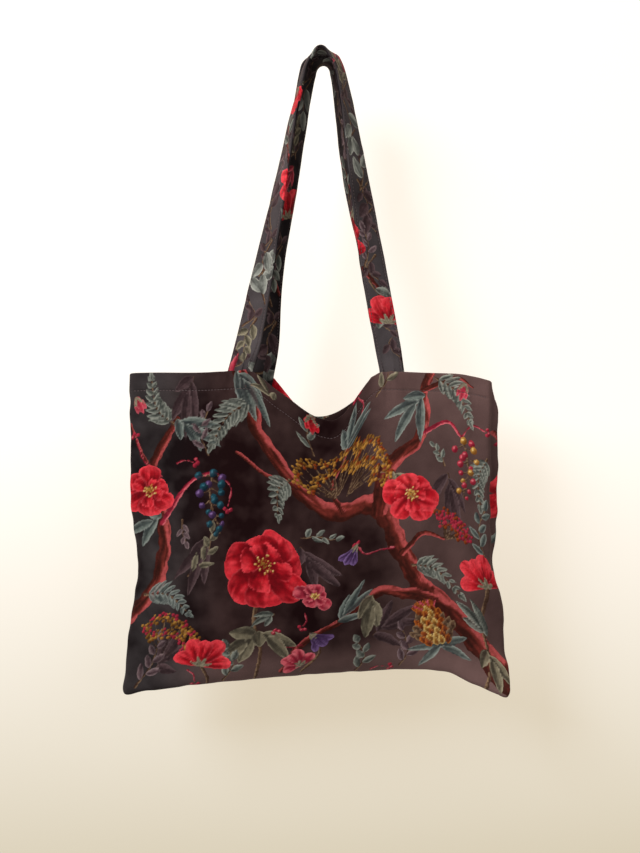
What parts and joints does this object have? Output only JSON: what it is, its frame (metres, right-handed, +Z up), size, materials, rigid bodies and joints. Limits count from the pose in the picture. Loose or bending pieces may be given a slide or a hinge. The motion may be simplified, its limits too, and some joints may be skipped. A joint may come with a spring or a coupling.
{
  "type": "shopping bag",
  "caption": "Flat velvet shopping bag with an open, dipping mouth and two long shoulder straps, shown hanging by the straps.",
  "frame": {"origin": "where the two straps bear on the top of a rail, midway between them", "axes": "+Z up, +X to the right of a person facing the front panel, -Y out of the front panel"},
  "size_m": [0.4262, 0.0962, 0.7065],
  "materials": {
    "printed_velvet": "dark aubergine cotton velvet with a painted botanical print",
    "strap_velvet": "the same printed cotton velvet, folded and topstitched"
  },
  "bodies": {
    "root": {"front_panel": "printed_velvet", "back_panel": "printed_velvet", "front_strap": "strap_velvet", "back_strap": "strap_velvet"}
  },
  "joints": []
}
